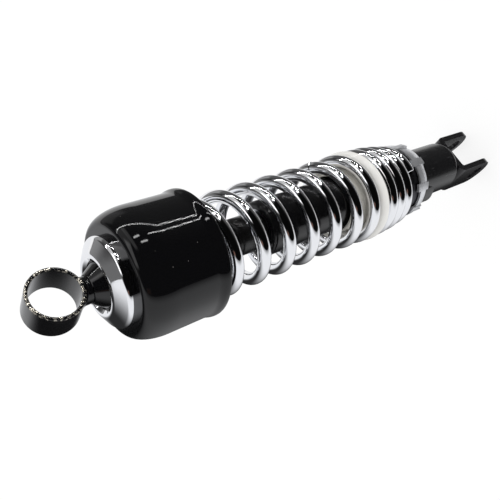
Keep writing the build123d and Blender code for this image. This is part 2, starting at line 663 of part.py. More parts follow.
# ---------------------------------------------------------------- export
pieces = {
    "lower_clevis": lower_clevis,
    "lower_socket": lower_socket,
    "damper_tube": damper_tube,
    "pressure_cylinder": pressure_cylinder,
    "foot_valve_body": foot_valve_body,
    "foot_valve_plate": foot_valve_plate,
    "foot_valve_bolt": foot_valve_bolt,
    "rod_guide": rod_guide,
    "rod_guide_bush": rod_guide_bush,
    "guide_o_ring": guide_o_ring,
    "oil_seal": oil_seal,
    "seal_garter_spring": seal_garter_spring,
    "seal_washer": seal_washer,
    "bump_stop": bump_stop,
    "preload_collar": preload_collar,
    "lower_spring_seat": lower_spring_seat,
    "spring_guide": spring_guide,
    "coil_spring": coil_spring,
    "upper_spring_seat": upper_spring_seat,
    "shroud": shroud,
    "dish_cap": dish_cap,
    "upper_eye": upper_eye,
    "piston_rod": piston_rod,
    "rod_lock_nut": rod_lock_nut,
    "bump_washer": bump_washer,
    "rebound_clip": rebound_clip,
    "rebound_stop": rebound_stop,
    "piston_backing_washer": piston_backing_washer,
    "piston_check_plate": piston_check_plate,
    "piston": piston,
    "piston_ring": piston_ring,
    "rebound_shims": rebound_shims,
    "shim_support_washer": shim_support_washer,
    "piston_nut": piston_nut,
}
for name, piece in pieces.items():
    piece.part.label = name
    export_step(piece.part, f"parts/{name}.step")
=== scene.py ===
"""Looks of a rear shock absorber: chrome spring and cap, black enamel, zinc collar.

The frame is in metres. Sizes below are in millimetres unless their name says otherwise.
"""
import math

import bmesh
import bpy
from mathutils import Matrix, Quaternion, Vector


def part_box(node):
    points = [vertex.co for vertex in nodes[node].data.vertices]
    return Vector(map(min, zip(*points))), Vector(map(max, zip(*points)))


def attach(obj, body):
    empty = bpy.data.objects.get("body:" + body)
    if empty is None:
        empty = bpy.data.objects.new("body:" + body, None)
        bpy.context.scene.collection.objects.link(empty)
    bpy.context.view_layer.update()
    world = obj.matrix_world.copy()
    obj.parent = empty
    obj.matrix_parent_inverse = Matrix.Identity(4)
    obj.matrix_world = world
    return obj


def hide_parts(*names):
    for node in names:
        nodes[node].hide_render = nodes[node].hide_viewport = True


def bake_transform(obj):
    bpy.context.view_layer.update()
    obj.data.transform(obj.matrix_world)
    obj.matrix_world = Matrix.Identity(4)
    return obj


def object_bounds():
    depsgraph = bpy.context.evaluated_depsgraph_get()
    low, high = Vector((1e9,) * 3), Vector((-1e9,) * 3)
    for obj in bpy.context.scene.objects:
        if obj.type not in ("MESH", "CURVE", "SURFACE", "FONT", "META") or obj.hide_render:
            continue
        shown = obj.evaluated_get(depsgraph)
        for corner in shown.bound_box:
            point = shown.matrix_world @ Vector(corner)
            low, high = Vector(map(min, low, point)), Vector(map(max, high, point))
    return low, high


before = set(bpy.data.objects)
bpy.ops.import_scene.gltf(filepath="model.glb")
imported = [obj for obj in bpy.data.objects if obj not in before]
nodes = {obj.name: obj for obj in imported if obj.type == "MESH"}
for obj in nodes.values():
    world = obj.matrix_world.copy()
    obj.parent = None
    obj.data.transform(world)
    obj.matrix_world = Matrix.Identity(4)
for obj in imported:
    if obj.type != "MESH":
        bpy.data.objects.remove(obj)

cad_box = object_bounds()
MM = 0.001
scene = bpy.context.scene


def low(node):
    """Lowest corner of a CAD node in millimetres."""
    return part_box(node)[0] / MM


def high(node):
    """Highest corner of a CAD node in millimetres."""
    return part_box(node)[1] / MM


# ---------------------------------------------------------------- mesh helpers
AROUND = 192                # faces around a turned piece
ROUND_STEPS = 7             # faces in a rounded corner
SHARP_DEG = 32.0
FLAT_DEG = 0.6              # faces closer in angle than this are one flat face
BEVEL_STEPS = 3
SAME_POINT = 0.002          # points closer than this are merged


def lerp(a, b, t):
    """Value a part of the way t from a to b."""
    return a + (b - a) * t


def smooth(t):
    """Ease from 0 to 1 while t goes from 0 to 1."""
    t = min(max(t, 0.0), 1.0)
    return t * t * (3 - 2 * t)


def finish_mesh(name, mesh):
    """Object for a mesh, shaded smooth except at its sharp edges, with normals led by the large faces."""
    mesh.shade_smooth()
    mesh.set_sharp_from_angle(angle=math.radians(SHARP_DEG))
    piece = bpy.data.objects.new(name, mesh)
    scene.collection.objects.link(piece)
    weighted = piece.modifiers.new("face_weight", "WEIGHTED_NORMAL")
    weighted.keep_sharp = True
    return piece


def mesh_piece(name, points, faces):
    """Piece from points in millimetres, with doubled points merged and faces turned outward."""
    mesh = bpy.data.meshes.new(name)
    mesh.from_pydata([Vector(point) * MM for point in points], [], faces)
    shape = bmesh.new()
    shape.from_mesh(mesh)
    bmesh.ops.remove_doubles(shape, verts=shape.verts, dist=SAME_POINT * MM)
    bmesh.ops.recalc_face_normals(shape, faces=shape.faces)
    shape.to_mesh(mesh)
    shape.free()
    return finish_mesh(name, mesh)


def rounded(corners):
    """Outline through corners (radius, height, rounding), with each rounded corner as a short curve."""
    outline = []
    for index, (r, z, rounding) in enumerate(corners):
        corner = Vector((r, z))
        if rounding == 0:
            outline.append(corner)
            continue
        before = Vector(corners[index - 1][:2]) - corner
        after = Vector(corners[(index + 1) % len(corners)][:2]) - corner
        start = corner + before.normalized() * min(rounding, before.length * 0.49)
        end = corner + after.normalized() * min(rounding, after.length * 0.49)
        for step in range(ROUND_STEPS + 1):
            t = step / ROUND_STEPS
            outline.append(start.lerp(corner, t).lerp(corner.lerp(end, t), t))
    return outline


def swept_grid(rings, closed_rings=True, closed_sweep=True):
    """Points and faces of a skin through rings that all have the same number of points."""
    count = len(rings[0])
    points = [point for ring in rings for point in ring]
    faces = []
    for i in range(len(rings) if closed_sweep else len(rings) - 1):
        for j in range(count if closed_rings else count - 1):
            next_i = (i + 1) % len(rings)
            next_j = (j + 1) % count
            corners = (i * count + j, i * count + next_j, next_i * count + next_j, next_i * count + j)
            faces.append(corners)
    return points, faces


def turned(name, outline, along_x=False, centre=(0, 0, 0)):
    """Piece turned from a closed outline of (radius, height), about Z or about X."""
    rings = []
    for i in range(AROUND):
        angle = 2 * math.pi * i / AROUND
        ring = []
        for r, h in outline:
            a = r * math.cos(angle)
            b = r * math.sin(angle)
            ring.append(Vector((h, a, b) if along_x else (a, b, h)) + Vector(centre))
        rings.append(ring)
    return mesh_piece(name, *swept_grid(rings))


def bevelled(name, node, width):
    """Piece with a CAD node's shape, its flat faces cleaned up and its edges rounded."""
    shape = bmesh.new()
    shape.from_mesh(nodes[node].data)
    bmesh.ops.remove_doubles(shape, verts=shape.verts, dist=SAME_POINT * MM)
    bmesh.ops.dissolve_limit(
        shape, angle_limit=math.radians(FLAT_DEG), verts=shape.verts, edges=shape.edges
    )
    sharp = [
        edge
        for edge in shape.edges
        if edge.is_manifold and edge.calc_face_angle(0) > math.radians(SHARP_DEG)
    ]
    bmesh.ops.bevel(
        shape, geom=sharp, offset=width * MM, segments=BEVEL_STEPS, profile=0.5,
        affect="EDGES", clamp_overlap=True,
    )
    bmesh.ops.recalc_face_normals(shape, faces=shape.faces)
    mesh = bpy.data.meshes.new(name)
    shape.to_mesh(mesh)
    shape.free()
    return finish_mesh(name, mesh)


def dress(piece, body, node, slot, *materials):
    """Puts a new piece on its body, in place of its CAD node, in its finish."""
    for material in materials:
        piece.data.materials.append(material)
    if body:
        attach(piece, body)
    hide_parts(node)
    return piece


# ---------------------------------------------------------------- shader helpers
class Graph:
    """Shader nodes of one tree. Each call adds nodes and returns the socket with their result."""

    def __init__(self, tree):
        self.tree = tree
        tree.nodes.clear()

    def add(self, kind, **settings):
        """New node with its settings."""
        node = self.tree.nodes.new(kind)
        for key, value in settings.items():
            setattr(node, key, value)
        return node

    def feed(self, socket, value):
        """Links a socket to another socket, or gives it a value."""
        if isinstance(value, bpy.types.NodeSocket):
            self.tree.links.new(value, socket)
        else:
            socket.default_value = value

    def math(self, operation, *values):
        """Result of a math node."""
        node = self.add("ShaderNodeMath", operation=operation)
        for socket, value in zip(node.inputs, values):
            self.feed(socket, value)
        return node.outputs[0]

    def vector(self, operation, a, b, output="Vector"):
        """Result of a vector math node."""
        node = self.add("ShaderNodeVectorMath", operation=operation)
        self.feed(node.inputs[0], a)
        self.feed(node.inputs[1], b)
        return node.outputs[output]

    def dot(self, a, b):
        """Dot product of two vectors."""
        return self.vector("DOT_PRODUCT", a, b, "Value")

    def ramp(self, value, start, end, low_value=0.0, high_value=1.0):
        """Smooth change between two values while the input goes from start to end."""
        node = self.add("ShaderNodeMapRange", interpolation_type="SMOOTHSTEP")
        for name, part in zip(
            ("Value", "From Min", "From Max", "To Min", "To Max"),
            (value, start, end, low_value, high_value),
        ):
            self.feed(node.inputs[name], part)
        return node.outputs["Result"]

    def mix(self, factor, a, b):
        """Mix of two values."""
        return self.math("MULTIPLY_ADD", factor, self.math("SUBTRACT", b, a), a)

    def tint(self, factor, a, b):
        """Mix of two colours."""
        node = self.add("ShaderNodeMix", data_type="RGBA")
        self.feed(node.inputs[0], factor)
        self.feed(node.inputs[6], a)
        self.feed(node.inputs[7], b)
        return node.outputs[2]

    def place(self):
        """Position on the piece in millimetres."""
        place = self.add("ShaderNodeTexCoord").outputs["Object"]
        return self.vector("MULTIPLY", place, (1 / MM, 1 / MM, 1 / MM))

    def split(self, vector):
        """The three parts of a vector."""
        return self.add_fed("ShaderNodeSeparateXYZ", vector).outputs

    def join(self, x, y, z):
        """Vector from three parts."""
        return self.add_fed("ShaderNodeCombineXYZ", x, y, z).outputs[0]

    def add_fed(self, kind, *values):
        """New node with its first inputs fed."""
        node = self.add(kind)
        for socket, value in zip(node.inputs, values):
            self.feed(socket, value)
        return node

    def around(self, place, radius):
        """Position unrolled about Z: length round a circle of this radius, distance from Z, height."""
        x, y, z = self.split(place)
        turn = self.math("MULTIPLY", self.math("ARCTAN2", y, x), radius)
        distance = self.math("SQRT", self.math("MULTIPLY_ADD", x, x, self.math("MULTIPLY", y, y)))
        return self.join(turn, distance, z)

    def noise(self, place, per_mm, detail=2.0, stretch=(1, 1, 1)):
        """Noise between 0 and 1. Stretch above 1 packs it more tightly along that axis."""
        size = tuple(per_mm * part for part in stretch)
        node = self.add("ShaderNodeTexNoise")
        self.feed(node.inputs["Vector"], self.vector("MULTIPLY", place, size))
        self.feed(node.inputs["Scale"], 1.0)
        self.feed(node.inputs["Detail"], detail)
        return node.outputs["Fac"]

    def specks(self, place, per_mm, size, share):
        """1 inside small round specks, 0 elsewhere. Share is how many cells have one."""
        node = self.add("ShaderNodeTexVoronoi")
        self.feed(node.inputs["Vector"], place)
        self.feed(node.inputs["Scale"], per_mm)
        chosen = self.math("LESS_THAN", self.split(node.outputs["Color"])[0], share)
        near = self.ramp(node.outputs["Distance"], size * 0.6, size, 1.0, 0.0)
        return self.math("MULTIPLY", chosen, near)

    def bump(self, height, depth, below=None):
        """Normal of a surface raised by height times depth, in millimetres."""
        node = self.add("ShaderNodeBump")
        self.feed(node.inputs["Height"], height)
        self.feed(node.inputs["Distance"], depth * MM)
        if below:
            self.feed(node.inputs["Normal"], below)
        return node.outputs["Normal"]


def material(name, build):
    """Material whose nodes are made by build(graph), which returns the inputs of its surface shader."""
    made = bpy.data.materials.new(name)
    made.use_nodes = True
    graph = Graph(made.node_tree)
    surface = graph.add("ShaderNodeBsdfPrincipled")
    for socket, value in build(graph).items():
        graph.feed(surface.inputs[socket], value)
    output = graph.add("ShaderNodeOutputMaterial")
    graph.feed(output.inputs["Surface"], surface.outputs["BSDF"])
    return made


# ---------------------------------------------------------------- materials
def black_enamel(name, peel, gloss, speck_share):
    """Thick black gloss enamel: faint orange peel, specks of dust, hazy wiping marks."""

    def build(g):
        place = g.place()
        skin = g.around(place, 30.0)
        peel_height = g.noise(place, 0.32, 1.0)
        haze = g.ramp(g.noise(skin, 0.10, 4.0, (1.2, 0.3, 3.5)), 0.52, 0.75)
        dust = g.specks(place, 0.42, 0.10, speck_share)
        colour = g.tint(dust, (0.0035, 0.0035, 0.0040, 1), (0.20, 0.19, 0.18, 1))
        return {
            "Base Color": colour,
            "Roughness": g.mix(haze, gloss, gloss + 0.07),
            "IOR": 1.42,
            "Normal": g.bump(peel_height, peel, g.bump(dust, 0.02)),
        }

    return material(name, build)


def worn_enamel(name, rim_x, ring_z):
    """Enamel of the eye: clean on the stem, brushed on the ring, with bright chips along its rims."""

    def build(g):
        place = g.place()
        x, y, z = g.split(place)
        on_ring = g.ramp(z, ring_z, ring_z + 1.5)
        on_rim = g.math("MULTIPLY", on_ring, g.ramp(g.math("ABSOLUTE", x), rim_x - 0.9, rim_x - 0.15))
        grit = g.noise(place, 1.5, 4.0)
        chips = g.math("MULTIPLY", on_rim, g.ramp(g.noise(place, 0.8, 5.0), 0.50, 0.56))
        lines = g.noise(place, 0.9, 3.0, (0.06, 1.0, 1.0))
        height = g.math("MULTIPLY", on_ring, g.mix(on_rim, g.math("MULTIPLY", lines, 0.25), grit))
        ring_gloss = g.mix(on_rim, g.mix(lines, 0.10, 0.20), 0.16)
        colour = g.tint(chips, (0.0040, 0.0040, 0.0046, 1), (0.62, 0.58, 0.50, 1))
        return {
            "Base Color": colour,
            "Metallic": g.math("MULTIPLY", chips, 0.8),
            "Roughness": g.mix(on_ring, 0.05, ring_gloss),
            "IOR": 1.5,
            "Normal": g.bump(height, 0.035),
        }

    return material(name, build)


def chrome(name, wave, roughness):
    """Bright chrome plate with a slightly uneven surface and fine polishing marks."""

    def build(g):
        place = g.place()
        swell = g.noise(place, 0.16, 2.0)
        marks = g.noise(place, 1.6, 3.0)
        tone = g.noise(place, 0.05, 3.0)
        pits = g.specks(place, 0.9, 0.07, 0.05)
        fine = g.math("MULTIPLY_ADD", pits, -1.0, marks)
        return {
            "Base Color": g.tint(tone, (0.84, 0.85, 0.88, 1), (0.93, 0.93, 0.94, 1)),
            "Metallic": 1.0,
            "Roughness": g.mix(marks, roughness * 0.6, roughness * 1.5),
            "Normal": g.bump(swell, wave * 10, g.bump(fine, wave * 0.4)),
        }

    return material(name, build)


def cast_zinc(name):
    """Plated die-cast collar: pale, dull and grainy, with a patchy tone."""

    def build(g):
        place = g.place()
        grain = g.noise(place, 1.8, 5.0)
        patch = g.noise(place, 0.22, 4.0)
        return {
            "Base Color": g.tint(patch, (0.62, 0.63, 0.66, 1), (0.88, 0.89, 0.91, 1)),
            "Metallic": 0.85,
            "Roughness": g.mix(grain, 0.20, 0.42),
            "Normal": g.bump(g.mix(0.35, grain, patch), 0.22),
        }

    return material(name, build)


def dull_steel(name, dark, light, roughness, turned_lines):
    """Machined or treated steel, with a mottled tone and faint lines round the axis."""

    def build(g):
        place = g.place()
        skin = g.around(place, 15.0)
        mottle = g.noise(place, 0.5, 4.0)
        lines = g.noise(skin, 1.4, 2.0, (0.03, 1.0, 2.2))
        return {
            "Base Color": g.tint(mottle, dark, light),
            "Metallic": 1.0,
            "Roughness": g.mix(mottle, roughness * 0.8, roughness * 1.25),
            "Normal": g.bump(lines, turned_lines, g.bump(mottle, 0.02)),
        }

    return material(name, build)


def soft_solid(name, dark, light, roughness, grain_mm=0.03, per_mm=0.8):
    """Rubber or plastic: a mottled colour and a fine moulded grain."""

    def build(g):
        place = g.place()
        mottle = g.noise(place, 0.12, 4.0)
        grain = g.noise(place, per_mm, 4.0)
        return {
            "Base Color": g.tint(mottle, dark, light),
            "Roughness": g.mix(grain, roughness * 0.85, roughness * 1.2),
            "IOR": 1.48,
            "Normal": g.bump(grain, grain_mm),
        }

    return material(name, build)


def satin_black(name, roughness, scuff=0.5, line_z=(1.0, 1.0, 0.08)):
    """Thin satin black coat over steel, with lengthwise rub marks and a few grey scuffs."""

    def build(g):
        place = g.place()
        skin = g.around(place, 16.0)
        rub = g.noise(skin, 0.8, 4.0, line_z)
        patch = g.noise(place, 0.18, 3.0)
        marks = g.math("MULTIPLY", g.ramp(rub, 0.60, 0.72), g.ramp(patch, 0.45, 0.65))
        marks = g.math("MULTIPLY", marks, scuff)
        return {
            "Base Color": g.tint(marks, (0.0055, 0.0055, 0.0062, 1), (0.06, 0.06, 0.062, 1)),
            "Roughness": g.mix(rub, roughness * 0.8, roughness * 1.3),
            "IOR": 1.45,
            "Normal": g.bump(g.noise(place, 0.9, 3.0), 0.012),
        }

    return material(name, build)


enamel = black_enamel("gloss_enamel", 0.0035, 0.05, 0.03)
eye_enamel = worn_enamel("eye_enamel", 8.0, 306.5)
bore_coat = satin_black("eye_bore_coat", 0.12)
socket_coat = satin_black("socket_coat", 0.22, 0.8)
tube_coat = satin_black("tube_coat", 0.16, 0.35)
clevis_coat = satin_black("clevis_coat", 0.24, 0.5, (1, 1, 1))
spring_plate = chrome("spring_chrome_plate", 0.003, 0.04)
cap_plate = chrome("cap_chrome_plate", 0.002, 0.05)
rod_plate = chrome("rod_hard_chrome", 0.0008, 0.05)
zinc = cast_zinc("cast_zinc")
seat_coat = dull_steel("blued_steel", (0.05, 0.05, 0.058, 1), (0.09, 0.09, 0.10, 1), 0.36, 0.01)
steel = dull_steel("ground_steel", (0.45, 0.45, 0.46, 1), (0.62, 0.62, 0.63, 1), 0.28, 0.02)
spring_sheet = dull_steel("spring_sheet", (0.25, 0.26, 0.30, 1), (0.42, 0.43, 0.46, 1), 0.22, 0.01)
zinc_steel = dull_steel("zinc_plated_steel", (0.55, 0.56, 0.60, 1), (0.74, 0.75, 0.80, 1), 0.30, 0.03)
sinter = dull_steel("sintered_iron", (0.10, 0.10, 0.105, 1), (0.22, 0.22, 0.225, 1), 0.55, 0.01)
bronze = dull_steel("bronze", (0.42, 0.24, 0.10, 1), (0.62, 0.38, 0.17, 1), 0.32, 0.02)
rubber = soft_solid("rubber", (0.004, 0.004, 0.004, 1), (0.009, 0.009, 0.009, 1), 0.24, 0.10, 0.35)
seal_rubber = soft_solid("seal_rubber", (0.010, 0.010, 0.012, 1), (0.022, 0.022, 0.024, 1), 0.38)
nylon = soft_solid("white_nylon", (0.66, 0.64, 0.58, 1), (0.78, 0.76, 0.71, 1), 0.38, 0.02)
gloss_nylon = soft_solid("gloss_nylon", (0.80, 0.79, 0.76, 1), (0.88, 0.87, 0.84, 1), 0.15, 0.005)
ptfe = soft_solid("ptfe", (0.60, 0.60, 0.57, 1), (0.72, 0.72, 0.69, 1), 0.42, 0.01)

# ---------------------------------------------------------------- coil spring
WIRE_R = 3.5
COIL_R = 23.8               # mean radius of the open coils
CLOSE_COIL_R = 24.7         # mean radius of the close coils
END_COIL_R = 21.8           # mean radius at the lower cut end
TAPER_TURNS = 3.0
NARROW_TURNS = 2.0
CLOSE_PITCH = 8.4
OPEN_PITCH = 17.75
OPEN_FROM = 4.9             # turns from the lower end
CLOSED_FROM = 12.5
PITCH_BLEND = 0.6
SPRING_TURNS = 14.0
SPRING_START_DEG = -17.0
SPLIT_TURN = 6.2            # the wire is split into two pieces here
RINGS_PER_TURN = 96
WIRE_SIDES = 32
CUT_CHAMFER = 0.35
CENTRE_INSET = 0.01         # radius of the tiny face in the middle of a cut end


def pitch_at(turn):
    """Rise per turn of the spring, counted in turns from its lower end."""
    opening = smooth((turn - OPEN_FROM) / PITCH_BLEND)
    closing = smooth((turn - CLOSED_FROM) / PITCH_BLEND)
    return lerp(CLOSE_PITCH, OPEN_PITCH, opening - closing)


def coil_radius_at(turn):
    """Mean coil radius, which tapers over the lowest turns and again above the close coils."""
    swell = math.sin(min(turn / TAPER_TURNS, 1.0) * math.pi / 2)
    narrowing = smooth((turn - OPEN_FROM) / NARROW_TURNS)
    return lerp(lerp(END_COIL_R, CLOSE_COIL_R, swell), COIL_R, narrowing)


def spring_height_at(turn):
    """Height of the wire's centre above its lower end, summed in small steps of a turn."""
    steps = max(1, round(turn * RINGS_PER_TURN))
    step = turn / steps
    return sum(pitch_at((i + 0.5) * step) * step for i in range(steps))


def capped_skin(name, rings):
    """Piece from a skin through rings, closed at both ends, with its points in the rings' order."""
    points, faces = swept_grid(rings, closed_sweep=False)
    last = len(points) - len(rings[0])
    faces.append(tuple(range(len(rings[0]))))
    faces.append(tuple(range(last, len(points))))
    mesh = bpy.data.meshes.new(name)
    mesh.from_pydata([point * MM for point in points], [], faces)
    shape = bmesh.new()
    shape.from_mesh(mesh)
    bmesh.ops.recalc_face_normals(shape, faces=shape.faces)
    shape.to_mesh(mesh)
    shape.free()
    return finish_mesh(name, mesh)


def share_out(piece, lower_body, upper_body, shares):
    """Bakes a piece's transform into its mesh; the two bodies and the shares are not used."""
    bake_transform(piece)


def spring_stretch(name, first_turn, last_turn, share_at):
    """A length of the spring's wire, with the share from share_at(turn) listed for each of its points."""
    count = round((last_turn - first_turn) * RINGS_PER_TURN)
    turns = [lerp(first_turn, last_turn, i / count) for i in range(count + 1)]
    base = low("coil_spring").z + WIRE_R + spring_height_at(first_turn)
    centres = []
    height = base
    for i, turn in enumerate(turns):
        angle = math.radians(SPRING_START_DEG + 360 * turn)
        radius = coil_radius_at(turn)
        centres.append(Vector((radius * math.cos(angle), radius * math.sin(angle), height)))
        step = (last_turn - first_turn) / count
        height += pitch_at(turn + step / 2) * step
    rings = []
    shares = []
    for i, turn in enumerate(turns):
        along = (centres[min(i + 1, count)] - centres[max(i - 1, 0)]).normalized()
        outward = Vector((centres[i].x, centres[i].y, 0))
        outward = (outward - along * outward.dot(along)).normalized()
        across = along.cross(outward)
        insets = [(WIRE_R, 0.0)]
        if i == 0:
            insets = [(CENTRE_INSET, 0.0), (WIRE_R - CUT_CHAMFER, 0.0), (WIRE_R, CUT_CHAMFER)]
        if i == count:
            insets = [(WIRE_R, -CUT_CHAMFER), (WIRE_R - CUT_CHAMFER, 0.0), (CENTRE_INSET, 0.0)]
        for radius, shift in insets:
            ring = []
            for side in range(WIRE_SIDES):
                angle = 2 * math.pi * side / WIRE_SIDES
                spoke = outward * math.cos(angle) + across * math.sin(angle)
                ring.append(centres[i] + along * shift + spoke * radius)
            rings.append(ring)
            shares.extend([share_at(turn)] * WIRE_SIDES)
    return capped_skin(name, rings), shares


SEATED_TURNS = 0.75         # wire that rests on the lower seat
CLOSE_SHARE = 0.35          # share of the preload travel that the close coils take up
CROWN_TURN = 12.6           # upper_share is 1 from this turn up


def lower_share(turn):
    """0 on the lower seat, 1 at the split; the close coils share a part of the travel."""
    in_close = (turn - SEATED_TURNS) / (OPEN_FROM - SEATED_TURNS)
    if in_close < 1:
        return CLOSE_SHARE * max(in_close, 0.0)
    return lerp(CLOSE_SHARE, 1.0, min((turn - OPEN_FROM) / (SPLIT_TURN - OPEN_FROM), 1.0))


def upper_share(turn):
    """0 at the split, 1 where the top coil closes; the open coils share the travel evenly."""
    return min(max((turn - SPLIT_TURN) / (CROWN_TURN - SPLIT_TURN), 0.0), 1.0)


for part, first, last, share_at, bodies in (
    ("spring_close_coils", 0.0, SPLIT_TURN, lower_share, ("spring_seat", "damper_body")),
    ("spring_open_coils", SPLIT_TURN, SPRING_TURNS, upper_share, ("damper_body", "upper_cover")),
):
    coils, shares = spring_stretch(part, first, last, share_at)
    dress(coils, None, "coil_spring", "spring_chrome", spring_plate)
    share_out(coils, *bodies, shares)

# ---------------------------------------------------------------- sleeve on the wire
SLEEVE_FROM_TURN = 3.62
SLEEVE_TO_TURN = 4.62
SLEEVE_START_DEG = -140     # round the wire's section, from its outer side towards the eye
SLEEVE_END_DEG = 5
SLEEVE_GAP = 0.02
SLEEVE_WALL = 0.6
SLEEVE_SIDES = 18


def sleeve_ring(turn, base):
    """The sleeve's section round the wire at a turn. Base is the height of the wire's lower end."""
    along = Quaternion((0, 0, 1), math.radians(SPRING_START_DEG + 360 * turn))
    tilt = Quaternion((1, 0, 0), math.atan2(pitch_at(turn), 2 * math.pi * coil_radius_at(turn)))
    centre = Vector((coil_radius_at(turn), 0, 0))
    rise = Vector((0, 0, base + spring_height_at(turn)))
    sides = range(SLEEVE_SIDES + 1)
    angles = [lerp(SLEEVE_START_DEG, SLEEVE_END_DEG, side / SLEEVE_SIDES) for side in sides]
    section = [(WIRE_R + SLEEVE_GAP, angle) for angle in angles]
    section += [(WIRE_R + SLEEVE_WALL, angle) for angle in reversed(angles)]
    ring = []
    for radius, angle_deg in section:
        angle = math.radians(angle_deg)
        spoke = tilt @ Vector((math.cos(angle), 0, -math.sin(angle)))
        ring.append(along @ (centre + spoke * radius) + rise)
    return ring


def sleeve_piece(name):
    """White plastic sleeve clipped over one turn of the wire, open on its inner side."""
    rings = []
    shares = []
    base = low("coil_spring").z + WIRE_R
    count = round((SLEEVE_TO_TURN - SLEEVE_FROM_TURN) * RINGS_PER_TURN)
    for i in range(count + 1):
        turn = lerp(SLEEVE_FROM_TURN, SLEEVE_TO_TURN, i / count)
        ring = sleeve_ring(turn, base)
        rings.append(ring)
        shares.extend([lower_share(turn)] * len(ring))
    return capped_skin(name, rings), shares


sleeve, shares = sleeve_piece("spring_wire_sleeve")
sleeve.data.materials.append(gloss_nylon)
share_out(sleeve, "spring_seat", "damper_body", shares)

# ---------------------------------------------------------------- shroud and cap
SHROUD_WALL = 1.4
CENTRE_HOLE_R = 11.6
SHOULDER_R = 26.0
SHOULDER_LENGTH = 16.0
BAND_PROUD = 1.1            # how far the band stands out of the barrel
BAND_LENGTH = 5.4
BAND_FLARE = 3.2
CAP_RIM_Z_ABOVE = 3.4       # cap rim above the shroud's face
CAP_SHEET = 1.0
CAP_CROWN_R = 14.2
CAP_HOLE_R = 11.9
ARC_STEPS = 28


def shoulder_arc(outer_r, barrel_top, length, inside=False):
    """Quarter ellipse from the shroud's face down to its barrel, or back up along the inside."""
    arc = []
    for step in range(ARC_STEPS + 1):
        angle = math.radians(90 * step / ARC_STEPS)
        r = SHOULDER_R + (outer_r - SHOULDER_R) * math.sin(angle)
        arc.append(Vector((r, barrel_top + length * math.cos(angle))))
    return arc[::-1] if inside else arc


face_z = high("shroud").z
rear_z = low("shroud").z
band_r = high("shroud").x
barrel_r = band_r - BAND_PROUD
inner_r = barrel_r - SHROUD_WALL
barrel_top = face_z - SHOULDER_LENGTH
shroud_outline = (
    [Vector((CENTRE_HOLE_R, face_z - SHROUD_WALL)), Vector((CENTRE_HOLE_R, face_z))]
    + shoulder_arc(barrel_r, barrel_top, SHOULDER_LENGTH)
    + rounded(
        [
            (barrel_r, barrel_top - 1, 0),
            (barrel_r, rear_z + BAND_LENGTH, 1.6),
            (band_r, rear_z + BAND_LENGTH - BAND_FLARE, 1.2),
            (band_r, rear_z, 1.5),
            (inner_r, rear_z, 0.5),
            (inner_r, barrel_top - 1, 0),
        ]
    )
    + shoulder_arc(inner_r, barrel_top, SHOULDER_LENGTH - SHROUD_WALL, inside=True)
)
dress(turned("shroud_shell", shroud_outline), "upper_cover", "shroud", "black_paint", enamel)

cap_r = high("dish_cap").x
crown_z = high("dish_cap").z
cap_rim_z = face_z + CAP_RIM_Z_ABOVE
cap_outline = rounded(
    [
        (cap_r, face_z, 0),
        (cap_r, cap_rim_z, 1.5),
        (CAP_CROWN_R, crown_z, 2.2),
        (CAP_HOLE_R, crown_z - 2.4, 0.2),
        (CAP_HOLE_R + CAP_SHEET, crown_z - 2.8, 0.2),
        (CAP_CROWN_R + 0.2, crown_z - 1.4, 1.2),
        (cap_r - CAP_SHEET, cap_rim_z - 0.7, 0.8),
        (cap_r - CAP_SHEET, face_z, 0),
    ]
)
dress(turned("dish_cap_plate", cap_outline), "upper_cover", "dish_cap", "cap_chrome", cap_plate)

# ---------------------------------------------------------------- upper eye and stem
EYE_BORE_R = 11.0
NECK_R = 6.6
WELD_ROUND = 2.0
CONE_TOP_Z = 304.5
CONE_LOW_Z = 298.0
HUB_R = 11.2
HUB_FLANGE_R = 14.0
ROD_R = 5.0
EYE_R = 12.75
EYE_WIDTH = 16.0
eye_half = EYE_WIDTH / 2
eye_z = high("upper_eye").z - EYE_R


